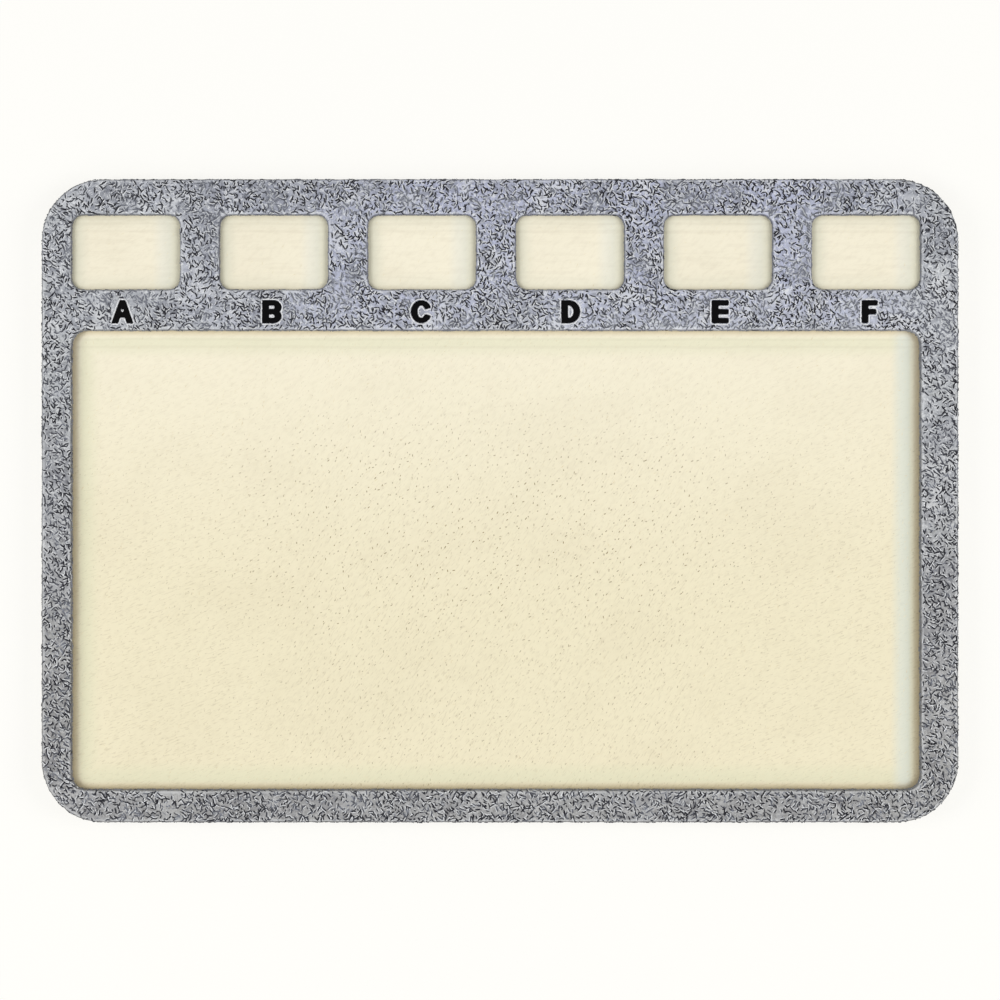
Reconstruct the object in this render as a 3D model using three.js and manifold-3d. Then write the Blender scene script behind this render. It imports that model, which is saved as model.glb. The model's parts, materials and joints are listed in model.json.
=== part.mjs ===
// A felt bead mat: a grey felt frame with six sorting bays above one work area, glued over a soft
// cream pad on a felt base, with an index letter pressed on below each bay.
// Millimetres, +Z up. The origin is at the middle of the underside, +X runs along the row of letters
// and +Y points to the bays.
import * as THREE from "three";
import { mergeVertices } from "three/addons/utils/BufferGeometryUtils.js";
import Module from "manifold-3d";

const wasm = await Module();
wasm.setup();

// Outline of the mat
const MAT_LENGTH = 300;
const MAT_DEPTH = 210.5;
const MAT_CORNER_RADIUS = 20;

// Layers, from the table up
const BASE_THICKNESS = 2;
const BASE_GLUE_THICKNESS = 0.2;
const PAD_THICKNESS = 2;
const FRAME_GLUE_THICKNESS = 0.2;
const FRAME_THICKNESS = 3;
const LETTER_THICKNESS = 0.25;

// The glue films stop this far short of every edge of the felt.
const GLUE_SETBACK = 1;

// Felt left standing round the openings
const RIM_LEFT = 9.8;
const RIM_RIGHT = 12.4;
const RIM_BACK = 11.7;
const RIM_FRONT = 10.7;
const LABEL_STRIP_DEPTH = 13.4;
const DIVIDER_WIDTH = 13;

// Openings
const BAY_DEPTH = 24.4;
const BAY_CORNER_RADIUS = 3.5;
const WORK_CORNER_RADIUS = 4.5;

// The pad swells up through each opening with rounded shoulders, which are narrower in the bays.
const SWELL_HEIGHT = 1;
const SWELL_CLEARANCE = 0.4;
const WORK_SHOULDER = 6;
const BAY_SHOULDER = 3;

// Index letters: the row stands below the middle of its strip, and its pitch is wider than the bays'.
const LETTER_HEIGHT = 7.5;
const LETTER_STEM = 2.1;
const LETTER_BAR = 1.7;
const LETTER_DROP = 0.6;
const LETTER_SPREAD = 0.4;
const A_WIDTH = 7.1;
const A_APEX_WIDTH = 1.7;
const A_BAR_RISE = 1.9;
const B_WIDTH = 6.2;
const C_WIDTH = 6.8;
const C_MOUTH_ANGLE = THREE.MathUtils.degToRad(21);
const D_WIDTH = 6.1;
const D_BOWL_REACH = 3.7;
const E_WIDTH = 5.5;
const F_WIDTH = 5.1;
const F_ARM_LENGTH = 4.7;

// Facets
const MAT_CORNER_STEPS = 12;
const OPENING_CORNER_STEPS = 5;
const SWELL_STEPS = 5;
const LETTER_STEPS = 8;

// Heights of the joints between the layers, held as the 32-bit numbers that a mesh stores, so that
// the face below and the face above are the same plane.
const baseTop = Math.fround(BASE_THICKNESS);
const padBottom = Math.fround(baseTop + BASE_GLUE_THICKNESS);
const padTop = Math.fround(padBottom + PAD_THICKNESS);
const frameBottom = Math.fround(padTop + FRAME_GLUE_THICKNESS);
const frameTop = Math.fround(frameBottom + FRAME_THICKNESS);
const letterTop = Math.fround(frameTop + LETTER_THICKNESS);

// Areas in the plan: rectangles with rounded corners
const mat = {
  left: -MAT_LENGTH / 2,
  right: MAT_LENGTH / 2,
  front: -MAT_DEPTH / 2,
  back: MAT_DEPTH / 2,
  radius: MAT_CORNER_RADIUS,
  steps: MAT_CORNER_STEPS,
};
const bayBack = mat.back - RIM_BACK;
const bayFront = bayBack - BAY_DEPTH;
const work = {
  left: mat.left + RIM_LEFT,
  right: mat.right - RIM_RIGHT,
  front: mat.front + RIM_FRONT,
  back: bayFront - LABEL_STRIP_DEPTH,
  radius: WORK_CORNER_RADIUS,
  steps: OPENING_CORNER_STEPS,
  shoulder: WORK_SHOULDER,
};

const felt = new THREE.MeshStandardMaterial({ color: 0x919296, roughness: 0.95, metalness: 0 });
const plush = new THREE.MeshStandardMaterial({ color: 0xf0e7cb, roughness: 0.9, metalness: 0 });
const glue = new THREE.MeshStandardMaterial({ color: 0xe4dfd0, roughness: 0.5, metalness: 0 });
const film = new THREE.MeshStandardMaterial({ color: 0x121215, roughness: 0.7, metalness: 0 });

// Points round an area, anticlockwise from its front right corner
function outline({ left, right, front, back, radius, steps }) {
  const centres = [
    [right - radius, front + radius],
    [right - radius, back - radius],
    [left + radius, back - radius],
    [left + radius, front + radius],
  ];
  return centres.flatMap(([x, y], quarter) =>
    Array.from({ length: steps + 1 }, (_, step) => {
      const angle = (quarter - 1 + step / steps) * (Math.PI / 2);
      return new THREE.Vector2(x + radius * Math.cos(angle), y + radius * Math.sin(angle));
    }),
  );
}

// The area with each edge moved outwards, and its corners with it
function grown({ left, right, front, back, radius, steps }, by) {
  return {
    left: left - by,
    right: right + by,
    front: front - by,
    back: back + by,
    radius: radius + by,
    steps,
  };
}

// The area drawn in on every side, with corners that tighten as its depth shrinks
function drawnIn({ left, right, front, back, radius, steps }, by) {
  return {
    left: left + by,
    right: right - by,
    front: front + by,
    back: back - by,
    radius: radius * (1 - (2 * by) / (back - front)),
    steps,
  };
}

function extruded(shape, thickness) {
  return new THREE.ExtrudeGeometry(shape, {
    depth: thickness,
    bevelEnabled: false,
    curveSegments: LETTER_STEPS,
  });
}

// A flat layer of the given area with openings through it
function layer(area, openings, thickness) {
  const shape = new THREE.Shape(outline(area));
  shape.holes = openings.map((opening) => new THREE.Path(outline(opening)));
  return extruded(shape, thickness);
}

// A closed solid through convex outlines stacked upwards, all with the same number of points
function stacked(levels) {
  const rings = levels.map(({ area }) => outline(area));
  const positions = rings.flatMap((ring, level) => ring.flatMap(({ x, y }) => [x, y, levels[level].z]));
  const count = rings[0].length;
  const top = (levels.length - 1) * count;
  const index = [];
  for (let lower = 0; lower < top; lower += count) {
    for (let point = 0; point < count; point++) {
      const here = lower + point;
      const next = lower + ((point + 1) % count);
      index.push(here, next, next + count, here, next + count, here + count);
    }
  }
  for (let point = 1; point + 1 < count; point++) {
    index.push(0, point + 1, point, top, top + point, top + point + 1);
  }
  return new THREE.BufferGeometry()
    .setAttribute("position", new THREE.Float32BufferAttribute(positions, 3))
    .setIndex(index);
}

function solidOf(geometry) {
  const bare = geometry.clone();
  bare.deleteAttribute("normal");
  bare.deleteAttribute("uv");
  const merged = mergeVertices(bare);
  return new wasm.Manifold(
    new wasm.Mesh({
      numProp: 3,
      vertProperties: merged.getAttribute("position").array,
      triVerts: new Uint32Array(merged.getIndex().array),
    }),
  );
}

// Several closed geometries joined into one body
function joined(geometries) {
  const whole = geometries.map(solidOf).reduce((sum, solid) => sum.add(solid));
  const { vertProperties, triVerts } = whole.getMesh();
  const shared = new THREE.BufferGeometry()
    .setAttribute("position", new THREE.BufferAttribute(vertProperties, 3))
    .setIndex(new THREE.BufferAttribute(triVerts, 1));
  const faceted = shared.toNonIndexed();
  faceted.computeVertexNormals();
  return faceted;
}

// One opening's share of the pad: it stands on the pressed layer, and its foot is sunk into that.
function swell(opening) {
  const foot = grown(opening, -SWELL_CLEARANCE);
  const levels = [{ area: foot, z: PAD_THICKNESS / 2 }];
  for (let step = 0; step <= SWELL_STEPS; step++) {
    const angle = (step / SWELL_STEPS) * (Math.PI / 2);
    levels.push({
      area: drawnIn(foot, opening.shoulder * (1 - Math.cos(angle))),
      z: padTop - padBottom + SWELL_HEIGHT * Math.sin(angle),
    });
  }
  return stacked(levels);
}

// Strokes of the letters, each a flat shape in a box that starts at the letter's lower left corner
function bar(left, bottom, right, top) {
  return new THREE.Shape([
    new THREE.Vector2(left, bottom),
    new THREE.Vector2(right, bottom),
    new THREE.Vector2(right, top),
    new THREE.Vector2(left, top),
  ]);
}

function stem() {
  return bar(0, 0, LETTER_STEM, LETTER_HEIGHT);
}

// A stroke that leans and narrows upwards from a foot to the apex
function leg(foot, apex) {
  return new THREE.Shape([
    new THREE.Vector2(foot, 0),
    new THREE.Vector2(foot + LETTER_STEM, 0),
    new THREE.Vector2(apex + A_APEX_WIDTH, LETTER_HEIGHT),
    new THREE.Vector2(apex, LETTER_HEIGHT),
  ]);
}

// A curved stroke between two ellipses with one centre, anticlockwise from one angle to another
function bow(x, y, outer, inner, from, to) {
  const shape = new THREE.Shape();
  shape.absellipse(x, y, outer.x, outer.y, from, to, false, 0);
  shape.absellipse(x, y, inner.x, inner.y, to, from, true, 0);
  shape.closePath();
  return shape;
}

function halfBow(x, y, outer, inner) {
  return bow(x, y, outer, inner, -Math.PI / 2, Math.PI / 2);
}

const middleBar = (LETTER_HEIGHT - LETTER_BAR) / 2;
const topBar = LETTER_HEIGHT - LETTER_BAR;

function strokesOfA() {
  const apex = (A_WIDTH - A_APEX_WIDTH) / 2;
  const barTop = A_BAR_RISE + LETTER_BAR;
  const barEnd = (apex * barTop) / LETTER_HEIGHT;
  return [
    leg(0, apex),
    leg(A_WIDTH - LETTER_STEM, apex),
    bar(barEnd, A_BAR_RISE, A_WIDTH - barEnd, barTop),
  ];
}

function strokesOfB() {
  const bowlHeight = (LETTER_HEIGHT + LETTER_BAR) / 2;
  const hollow = bowlHeight / 2 - LETTER_BAR;
  const outer = new THREE.Vector2(hollow + LETTER_STEM, bowlHeight / 2);
  const inner = new THREE.Vector2(hollow, hollow);
  const turn = B_WIDTH - outer.x;
  return [
    stem(),
    bar(0, 0, turn, LETTER_BAR),
    bar(0, middleBar, turn, middleBar + LETTER_BAR),
    bar(0, topBar, turn, LETTER_HEIGHT),
    halfBow(turn, bowlHeight / 2, outer, inner),
    halfBow(turn, LETTER_HEIGHT - bowlHeight / 2, outer, inner),
  ];
}

function strokesOfC() {
  const outer = new THREE.Vector2(C_WIDTH / 2, LETTER_HEIGHT / 2);
  const inner = new THREE.Vector2(outer.x - LETTER_STEM, outer.y - LETTER_BAR);
  return [bow(outer.x, outer.y, outer, inner, C_MOUTH_ANGLE, 2 * Math.PI - C_MOUTH_ANGLE)];
}

function strokesOfD() {
  const outer = new THREE.Vector2(D_BOWL_REACH, LETTER_HEIGHT / 2);
  const inner = new THREE.Vector2(outer.x - LETTER_STEM, outer.y - LETTER_BAR);
  const turn = D_WIDTH - outer.x;
  return [
    stem(),
    bar(0, 0, turn, LETTER_BAR),
    bar(0, topBar, turn, LETTER_HEIGHT),
    halfBow(turn, outer.y, outer, inner),
  ];
}

function strokesOfE() {
  return [
    stem(),
    bar(0, 0, E_WIDTH, LETTER_BAR),
    bar(0, middleBar, E_WIDTH, middleBar + LETTER_BAR),
    bar(0, topBar, E_WIDTH, LETTER_HEIGHT),
  ];
}

function strokesOfF() {
  return [
    stem(),
    bar(0, middleBar, F_ARM_LENGTH, middleBar + LETTER_BAR),
    bar(0, topBar, F_WIDTH, LETTER_HEIGHT),
  ];
}

// One letter for each bay, from left to right
const letters = [
  { name: "letter_a", width: A_WIDTH, strokes: strokesOfA() },
  { name: "letter_b", width: B_WIDTH, strokes: strokesOfB() },
  { name: "letter_c", width: C_WIDTH, strokes: strokesOfC() },
  { name: "letter_d", width: D_WIDTH, strokes: strokesOfD() },
  { name: "letter_e", width: E_WIDTH, strokes: strokesOfE() },
  { name: "letter_f", width: F_WIDTH, strokes: strokesOfF() },
];

const bayWidth = (work.right - work.left - (letters.length - 1) * DIVIDER_WIDTH) / letters.length;
const bays = letters.map((_, place) => {
  const left = work.left + place * (bayWidth + DIVIDER_WIDTH);
  return {
    left,
    right: left + bayWidth,
    front: bayFront,
    back: bayBack,
    radius: BAY_CORNER_RADIUS,
    steps: OPENING_CORNER_STEPS,
    shoulder: BAY_SHOULDER,
  };
});
const openings = [work, ...bays];

function piece(name, geometry, material, height) {
  const mesh = new THREE.Mesh(geometry, material);
  mesh.name = name;
  mesh.position.z = height;
  return mesh;
}

function baseFelt() {
  return piece("base_felt", layer(mat, [], baseTop), felt, 0);
}

function baseGlue() {
  const geometry = layer(grown(mat, -GLUE_SETBACK), [], padBottom - baseTop);
  return piece("base_glue", geometry, glue, baseTop);
}

function beadPad() {
  const geometry = joined([layer(mat, [], padTop - padBottom), ...openings.map(swell)]);
  return piece("bead_pad", geometry, plush, padBottom);
}

function frameGlue() {
  const area = grown(mat, -GLUE_SETBACK);
  const windows = openings.map((opening) => grown(opening, GLUE_SETBACK));
  return piece("frame_glue", layer(area, windows, frameBottom - padTop), glue, padTop);
}

function feltFrame() {
  return piece("felt_frame", layer(mat, openings, frameTop - frameBottom), felt, frameBottom);
}

// The letters stand in one row, centred on the row of bays.
function letterRow() {
  const row = new THREE.Group();
  const pitch = bayWidth + DIVIDER_WIDTH + LETTER_SPREAD;
  row.position.set((work.left + work.right) / 2, (work.back + bayFront) / 2 - LETTER_DROP, frameTop);
  letters.forEach(({ name, width, strokes }, place) => {
    const geometry = joined(strokes.map((stroke) => extruded(stroke, letterTop - frameTop)));
    const letter = piece(name, geometry, film, 0);
    letter.position.x = (place - (letters.length - 1) / 2) * pitch - width / 2;
    letter.position.y = -LETTER_HEIGHT / 2;
    row.add(letter);
  });
  return row;
}

const beadMat = new THREE.Group();
beadMat.add(baseFelt(), baseGlue(), beadPad(), frameGlue(), feltFrame(), letterRow());

export default beadMat;
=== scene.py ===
import functools
import json
import math
import random

import bmesh
import bpy
from bpy.props import FloatProperty, FloatVectorProperty, IntProperty, PointerProperty
from mathutils import Matrix, Vector, noise
from mathutils.bvhtree import BVHTree


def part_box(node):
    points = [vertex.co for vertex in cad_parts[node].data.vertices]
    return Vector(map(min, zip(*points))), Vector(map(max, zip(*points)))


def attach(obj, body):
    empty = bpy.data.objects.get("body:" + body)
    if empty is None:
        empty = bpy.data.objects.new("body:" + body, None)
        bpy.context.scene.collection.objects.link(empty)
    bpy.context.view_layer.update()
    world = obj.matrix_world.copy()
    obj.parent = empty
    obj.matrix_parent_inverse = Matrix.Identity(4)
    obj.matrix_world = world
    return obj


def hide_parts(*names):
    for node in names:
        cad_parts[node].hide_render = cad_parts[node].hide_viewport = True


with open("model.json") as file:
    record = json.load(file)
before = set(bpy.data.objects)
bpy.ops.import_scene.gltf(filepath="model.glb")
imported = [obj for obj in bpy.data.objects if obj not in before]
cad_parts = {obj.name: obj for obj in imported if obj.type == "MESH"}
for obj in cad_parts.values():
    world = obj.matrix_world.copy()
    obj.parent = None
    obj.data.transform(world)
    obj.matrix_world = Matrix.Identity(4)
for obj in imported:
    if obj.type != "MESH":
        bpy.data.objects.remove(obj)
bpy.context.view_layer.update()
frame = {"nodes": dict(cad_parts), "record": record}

bl_info = {
    "name": "Felt Bead Mat",
    "version": (1, 0, 0),
    "blender": (4, 5, 0),
    "location": "View3D > Sidebar > Bead Mat",
    "description": "Dresses a bead mat's solids in felt, fibres, plush and pressed letters",
    "category": "Object",
}

MM = 0.001
BODY = "root"
WELD = 0.001 * MM
DOWN = Vector((0, 0, -1))
LETTERS = tuple("letter_" + key for key in "abcdef")
GLUE_FILMS = ("base_glue", "frame_glue")

# Where the finishes change, in millimetres: along Y at first, and along X for the last.
LETTER_ROW = 62
WORK_AREA_BACK = 56
TOWARDS_BAYS = (60, 68)
TOWARDS_LEFT = (20, -130)

# How the wool lies: three fibres in five lean to one side, strokes on the pad lie askew to its nap
# by an angle in radians, and a tuft is an arch over the nap.
LEANS = (-1, -1, -1, 1, 1)
ASKEW = 0.3
TUFT_ARCH = (-0.08 * MM, 0, -0.06 * MM)

OUTER_RIM = 7 * MM
FLOOR_REACH = 3
FLOOR_DROP = 0.05 * MM
LAMP_DISTANCE = 1.3
LAMP_SIZE = 0.7

felt_low, felt_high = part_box("felt_frame")
felt_thickness = felt_high.z - felt_low.z
felt_middle = (felt_low.z + felt_high.z) / 2
pad_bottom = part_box("bead_pad")[0].z
base_low, base_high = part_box("base_felt")
pad_pressed_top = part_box("frame_glue")[0].z
letter_boxes = [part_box(letter) for letter in LETTERS]


def length(name, description, millimetres):
    """A size that a user may change, given in millimetres and kept in metres."""
    size = millimetres * MM
    return FloatProperty(name=name, description=description, default=size, unit="LENGTH", precision=5)


def linear(level):
    """The linear value of an 8-bit display level."""
    share = level / 255
    return share / 12.92 if share <= 0.04045 else ((share + 0.055) / 1.055) ** 2.4


def shown(red, green, blue):
    """The linear colour that shows as the given 8-bit display levels."""
    return (linear(red), linear(green), linear(blue), 1)


def colour(name, description, red, green, blue):
    """A colour that a user may change, given as 8-bit display levels and kept linear."""
    tone = shown(red, green, blue)
    kind = {"size": 4, "min": 0, "max": 1, "subtype": "COLOR"}
    return FloatVectorProperty(name=name, description=description, default=tone, **kind)


def amount(name, description, count):
    """A number of fibres that a user may change."""
    return IntProperty(name=name, description=description, default=count)


def direction(name, description, degrees):
    """An angle that a user may change, given in degrees and kept in radians."""
    radians = math.radians(degrees)
    return FloatProperty(name=name, description=description, default=radians, subtype="ANGLE")


def factor(name, description, share):
    """A share of a whole that a user may change."""
    return FloatProperty(name=name, description=description, default=share, subtype="FACTOR")


class FeltSettings(bpy.types.PropertyGroup):
    """Sizes and colours of the grey melange felt."""

    cell: length("Cell", "Size of the cells of the frame's surface", 0.7)
    base_cell: length("Base Cell", "Size of the cells of the base's underside", 1.6)
    lump: length("Lump", "Height of the broad lumps in the felt", 0.1)
    lump_width: length("Lump Width", "Distance between the broad lumps", 5.0)
    pile: length("Pile", "Height of the small tufts of the felt", 0.09)
    pile_width: length("Pile Width", "Distance between the small tufts", 1.7)
    corner: length("Corner", "Radius of the mat's outer corners", 20.0)
    mid: colour("Mid Grey", "Main tone of the felt", 194, 197, 199)
    tint: colour("Tint", "Cooler tone that clouds the felt", 181, 186, 214)
    shade: colour("Shade", "Deeper tone between the tufts", 132, 135, 145)
    # Painted shade: the felt turns darker and warmer towards the front.
    near: colour("Near", "Warmer grey of the felt towards the front", 126, 120, 110)
    pale: colour("Pale", "Tone of the pale wool", 236, 238, 240)
    dark: colour("Dark", "Tone of the charcoal wool", 6, 7, 22)
    # Cut-wall tone: a little of it is the cut felt's own darker tone, most of it is painted shade in the
    # holes.
    cut: colour("Cut", "Tone of the walls where the felt was cut", 16, 14, 14)


class FibreSettings(bpy.types.PropertyGroup):
    """Loose fibres that lie on the felt and stand out of its cut edges."""

    count: amount("Fibres", "Charcoal fibres that lie on the felt", 10400)
    grey_count: amount("Grey Fibres", "Grey fibres that lie on the felt", 3000)
    side_count: amount("Side Fibres", "Fibres that lie on the outer sides", 3600)
    wall_count: amount("Wall Fibres", "Fibres that lie on the holes' walls", 3600)
    fuzz_count: amount("Fuzz", "Fibres that stand out of cut edges", 4200)
    dark_width: length("Dark Width", "Thickness of a charcoal fibre", 0.53)
    grey_width: length("Grey Width", "Thickness of a grey fibre", 0.3)
    pale_width: length("Pale Width", "Thickness of a pale fibre", 0.3)
    fuzz_width: length("Fuzz Width", "Thickness of a fibre at the edges", 0.16)
    apart: length("Apart", "Least distance between charcoal fibres' roots", 0.75)
    beside: length("Beside", "Distance from a charcoal fibre to the pale one beside it", 0.38)
    run: length("Run", "Length of a fibre that lies on the felt", 1.9)
    clear: length("Clear", "Width of the rims that few charcoal fibres cross", 0.8)
    reach: length("Reach", "Length of a fibre that stands out of an edge", 0.35)
    lean: direction("Lean", "How far the fibres lean from the long side", 50)


class PadSettings(bpy.types.PropertyGroup):
    """Sizes and colours of the cream plush pad."""

    cell: length("Cell", "Size of the pad's cells", 1.05)
    rise: length("Rise", "Swell of the pad in the work area", 0.5)
    bay_rise: length("Bay Rise", "Swell of the pad in a bay", 1.85)
    bay_foot: length("Bay Foot", "How far up the pad meets a bay's wall", 1.6)
    lip: length("Lip", "Reach of the raised pad under a bay's wall", 1.3)
    lift: length("Lift", "Rise of the pad along the work area's back", 1.3)
    fold: length("Fold", "Width of the strip that rises", 6.0)
    shoulder: length("Shoulder", "Width of the work area's rounded shoulder", 6.0)
    bay_shoulder: length("Bay Shoulder", "Width of the bays' rounded shoulders", 3.0)
    edge: length("Edge", "Width of the strip by the felt where tones change", 10.0)
    nap: length("Nap", "Height of the soft unevenness of the nap", 0.05)
    nap_width: length("Nap Width", "Distance between rises of the nap", 2.4)
    nap_angle: direction("Nap Angle", "Direction in which the nap is brushed", 38)
    tufts: amount("Tufts", "Brushed tufts that are tried all over the nap", 8500)
    tuft_run: length("Tuft Run", "Length of a brushed tuft", 1.3)
    tuft_width: length("Tuft Width", "Thickness of a brushed tuft", 0.16)
    tuft_gap: length("Tuft Gap", "Least distance between the roots of tufts", 1.5)
    cream: colour("Cream", "Main tone of the pad", 240, 231, 200)
    # Painted light: the pad turns paler towards the back and the bays.
    back_light_cream: colour("Far Cream", "Tone of the pad towards the bays", 249, 242, 219)
    brushed: colour("Brushed", "Tone of the brushed tufts", 218, 199, 152)
    # Painted shade: a warm tan beside the felt's walls.
    edging: colour("Pressed", "Warmer tone where the felt presses the pad", 206, 184, 136)
    lit: colour("Lit", "Paler tone of the pad's slope along the felt", 226, 226, 193)
    # Painted light: a cooler tone on the pad's right slope.
    cool_light: colour("Cool", "Cooler tone of the pad's slope on its right", 213, 225, 228)
    # Painted shade: a greener, darker tone round a bay's rim.
    rim: colour("Rim", "Greener tone along a bay's rim", 190, 197, 179)
    shade: colour("Shade", "Tone of the pits in the nap", 128, 98, 0)


class LetterSettings(bpy.types.PropertyGroup):
    """The pressed index letters."""

    corner: length("Corner", "Rounding of the letters' corners", 0.45)
    rim: length("Rim", "Rounding of the letters' upper edge", 0.1)
    # The halo is a pale outline of wool strands round each letter's foot.
    halo: length("Halo", "Thickness of the wool pushed up round a letter", 0.55)
    black: colour("Black", "Tone of the letter film", 3, 3, 4)
    edging: colour("Pressed", "Tone of the wool pushed up round a letter", 238, 239, 242)


class StageSettings(bpy.types.PropertyGroup):
    """Floor, light and camera."""

    lens: FloatProperty(name="Lens", description="Focal length", default=78, unit="CAMERA")
    mat_share: factor("Mat Share", "Share of the view's width that the mat takes up", 0.91725)
    rise: length("Rise", "How far the view's middle lies behind the mat's", 0.27)
    floor: colour("Floor", "Tone of the floor and the background", 255, 254, 250)
    ambient: factor("Ambient", "Share of light from all around", 0.42)
    side: factor("Side", "Share of light from each side", 0.27)
    front: factor("Front", "Share of light from the front", 0.09)


class BeadMatSettings(bpy.types.PropertyGroup):
    """Everything about the mat that a user would change."""

    felt: PointerProperty(type=FeltSettings)
    fibres: PointerProperty(type=FibreSettings)
    pad: PointerProperty(type=PadSettings)
    letters: PointerProperty(type=LetterSettings)
    stage: PointerProperty(type=StageSettings)


class Wire:
    """An output of a node. Arithmetic on it adds Math nodes."""

    def __init__(self, nodes, socket):
        self.nodes = nodes
        self.socket = socket

    def maths(self, operation, *values):
        return self.nodes.node("ShaderNodeMath", {"operation": operation}, dict(enumerate(values)))

    def __add__(self, other):
        return self.maths("ADD", self, other)

    def __sub__(self, other):
        return self.maths("SUBTRACT", self, other)

    def __rsub__(self, other):
        return self.maths("SUBTRACT", other, self)

    def __mul__(self, other):
        return self.maths("MULTIPLY", self, other)

    def __abs__(self):
        return self.maths("ABSOLUTE", self)

    __radd__ = __add__
    __rmul__ = __mul__


class Nodes:
    """A node tree and the calls that add nodes to it."""

    def __init__(self, tree):
        self.tree = tree

    def feed(self, socket, value):
        if isinstance(value, Wire):
            self.tree.links.new(value.socket, socket)
        else:
            socket.default_value = value

    def node(self, kind, settings=None, inputs=None, output=0):
        made = self.tree.nodes.new(kind)
        for key, value in (settings or {}).items():
            setattr(made, key, value)
        for key, value in (inputs or {}).items():
            self.feed(made.inputs[key], value)
        return Wire(self, made.outputs[output])

    def seen(self):
        """1 for what the camera sees, also in a reflection, and 0 for what lights a surface."""
        kinds = ("Is Camera Ray", "Is Glossy Ray", "Is Transmission Ray")
        camera, glossy, through = (self.node("ShaderNodeLightPath", output=kind) for kind in kinds)
        return camera + glossy + through

    def end(self, output, share, first, second):
        """Ends the tree in a mix of two shaders."""
        blend = self.node("ShaderNodeMixShader", inputs={0: share, 1: first, 2: second})
        self.feed(self.tree.nodes[output].inputs["Surface"], blend)


class Finish(Nodes):
    """A node material, its tone so far and the kinds of node that the finishes are made of."""

    def __init__(self, name, tone=None):
        self.material = bpy.data.materials.new(name)
        self.material.use_nodes = True
        super().__init__(self.material.node_tree)
        self.shader = self.tree.nodes["Principled BSDF"]
        self.tone = tone

    def surface(self, **inputs):
        for key, value in inputs.items():
            self.feed(self.shader.inputs[key.replace("_", " ").title()], value)
        return self.material

    def sheen(self, weight, roughness):
        """The glow of fine fibres that stand up."""
        self.shader.inputs["Sheen Weight"].default_value = weight
        self.shader.inputs["Sheen Roughness"].default_value = roughness

    def vector(self, operation, first, second):
        return self.node("ShaderNodeVectorMath", {"operation": operation}, {0: first, 1: second})

    def place(self, shift=0.0, turn=0.0, stretch=1.0):
        """Object coordinates in millimetres, shifted, turned about Z and drawn out along X."""
        here = self.node("ShaderNodeTexCoord", output="Object")
        turned = self.node(
            "ShaderNodeMapping",
            {"vector_type": "TEXTURE"},
            {"Vector": here, "Location": (shift, shift, shift), "Rotation": (0, 0, turn)},
        )
        return self.vector("MULTIPLY", turned, (1 / MM / stretch, 1 / MM, 1 / MM))

    def part(self, vector, axis):
        return self.node("ShaderNodeSeparateXYZ", inputs={"Vector": vector}, output=axis)

    def attribute(self, name):
        """A value that the piece's vertices hold."""
        return self.node("ShaderNodeAttribute", {"attribute_name": name}, output="Fac")

    def noise(self, place, size, detail=2.0, roughness=0.5, distortion=0.0):
        kind = {"Detail": detail, "Roughness": roughness, "Distortion": distortion}
        return self.node("ShaderNodeTexNoise", inputs={"Vector": place, "Scale": 1 / size, **kind})

    def ramp(self, value, low, high):
        """0 below low and 1 above high, with a soft change between them."""
        span = {"Value": value, "From Min": low, "From Max": high}
        return self.node("ShaderNodeMapRange", {"interpolation_type": "SMOOTHSTEP"}, span)

    def patches(self, size, low, high, detail=2.0, **where):
        """Soft patches of about a size: where a noise passes from low to high."""
        return self.ramp(self.noise(self.place(**where), size, detail), low, high)

    def mix(self, share, first, second):
        inputs = {0: share, 6: first, 7: second}
        return self.node("ShaderNodeMix", {"data_type": "RGBA"}, inputs, output=2)

    def cover(self, share, colour):
        """Lays a colour over the tone so far by a share."""
        self.tone = self.mix(share, self.tone, colour)

    def bump(self, height, depth, strength):
        inputs = {"Strength": strength, "Distance": depth * MM, "Height": height}
        return self.node("ShaderNodeBump", inputs=inputs)

    def pits(self, size, width, run, angle):
        """One pit in every cell of a flat pattern: a dot or a short stroke, some deep and some faint."""
        flat = self.vector("MULTIPLY", self.place(), (1, 1, 0))
        cell = {"Vector": flat, "Scale": 1 / size}
        chance = self.node("ShaderNodeTexVoronoi", inputs=cell, output="Color")
        middle = self.node("ShaderNodeTexVoronoi", inputs=cell, output="Position")
        for_turn, for_run, for_depth = (self.part(chance, axis) for axis in "XYZ")
        turned = self.node(
            "ShaderNodeVectorRotate",
            {"rotation_type": "Z_AXIS", "invert": True},
            {"Vector": self.vector("SUBTRACT", flat, middle), "Angle": angle + 1.6 * (for_turn - 0.5)},
        )
        reach = 0.5 * width + 0.5 * run * for_run * for_run
        along = 1 - self.ramp(abs(self.part(turned, "X")) - reach, 0, 0.5 * width)
        across = 1 - self.ramp(abs(self.part(turned, "Y")), 0.25 * width, 0.6 * width)
        return along * across * self.ramp(for_depth, 0.35, 0.95)

    def dashes(self, angle):
        """Fine short dashes of a brushed nap."""
        return self.patches(0.45, 0.58, 0.68, detail=1, shift=0.6, turn=angle, stretch=5)

    def strokes(self, place, size, width, broken):
        """Short curly strokes: contour lines of a noise with gaps in them."""
        field = self.noise(place, size, detail=1, distortion=1.2)
        line = 1 - self.ramp(abs(field - 0.5), 0.4 * width, width)
        kept = self.ramp(self.noise(place, 0.9 * size, detail=0), broken, broken + 0.08)
        return line * kept


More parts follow.
